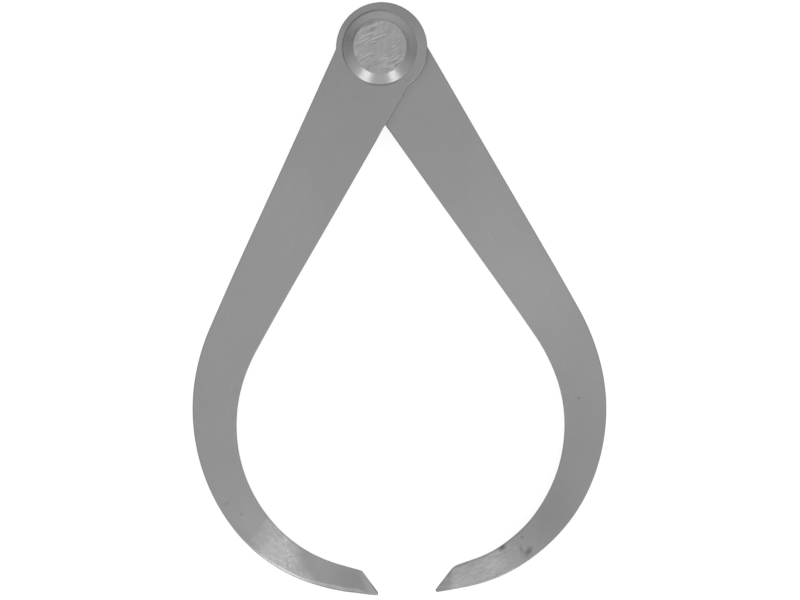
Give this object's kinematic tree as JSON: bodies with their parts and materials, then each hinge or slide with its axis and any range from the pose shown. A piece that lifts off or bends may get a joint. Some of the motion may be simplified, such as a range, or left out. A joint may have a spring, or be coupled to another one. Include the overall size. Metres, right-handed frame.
{
  "type": "outside caliper",
  "caption": "Outside caliper with a firm riveted joint: flat steel legs bowed outwards and ending in points that turn in towards each other.",
  "frame": {"origin": "on the joint axis, at the outer flat face of the rear washer, which is the lowest face of the caliper lying down", "axes": "+Z along the joint axis from the rear washer to the front washer, +Y away from the points so the legs run towards -Y, +X towards the side of the rear leg"},
  "size_m": [0.1138, 0.1624, 0.012],
  "materials": {
    "leg_steel": "satin, ground along the leg and lightly worn",
    "washer_steel": "turned bevel, filed flat",
    "rivet_steel": "filed flush",
    "fibre": "plain hard fibre"
  },
  "bodies": {
    "rear": {"rear_leg": "leg_steel", "rear_washer": "washer_steel", "front_washer": "washer_steel", "friction_disc": "fibre", "rivet": "rivet_steel"},
    "front": {"front_leg": "leg_steel"}
  },
  "joints": [
    {"name": "opening", "type": "hinge", "parent": "rear", "child": "front", "pos_m": [0, 0, 0.006], "axis": [0, 0, -1], "range_deg": [-5.9, 320]}
  ]
}
